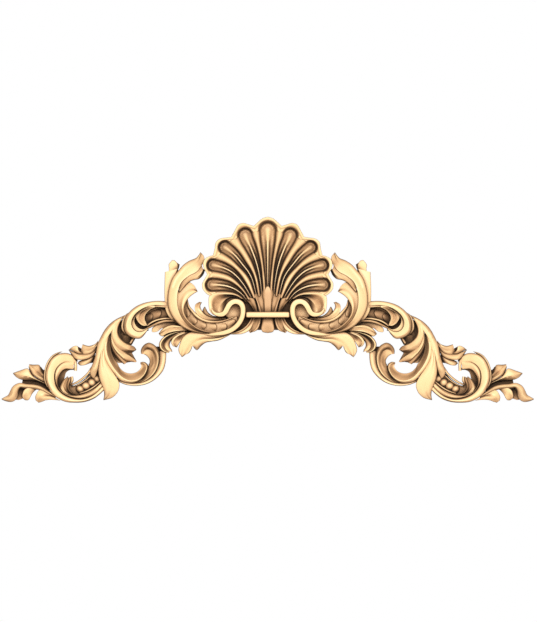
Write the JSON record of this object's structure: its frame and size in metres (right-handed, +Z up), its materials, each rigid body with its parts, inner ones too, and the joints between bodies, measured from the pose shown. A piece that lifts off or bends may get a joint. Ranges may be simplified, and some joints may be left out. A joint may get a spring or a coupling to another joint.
{
  "type": "carved headpiece",
  "caption": "Low arched wood appliqué carved with a scallop shell, volutes, bead channels and acanthus scrolls, made to be fixed flat over a door, mirror or bed head.",
  "frame": {"origin": "on the flat back, on the centre line behind the bud above the tie bar", "axes": "+X across to the right as seen from the front, +Y into the wall, +Z up; the carving faces -Y"},
  "size_m": [1.064, 0.045, 0.372],
  "materials": {
    "carved_wood": "fine pale hardwood, sanded smooth, satin"
  },
  "bodies": {
    "root": {"carved_headpiece": "carved_wood"}
  },
  "joints": []
}
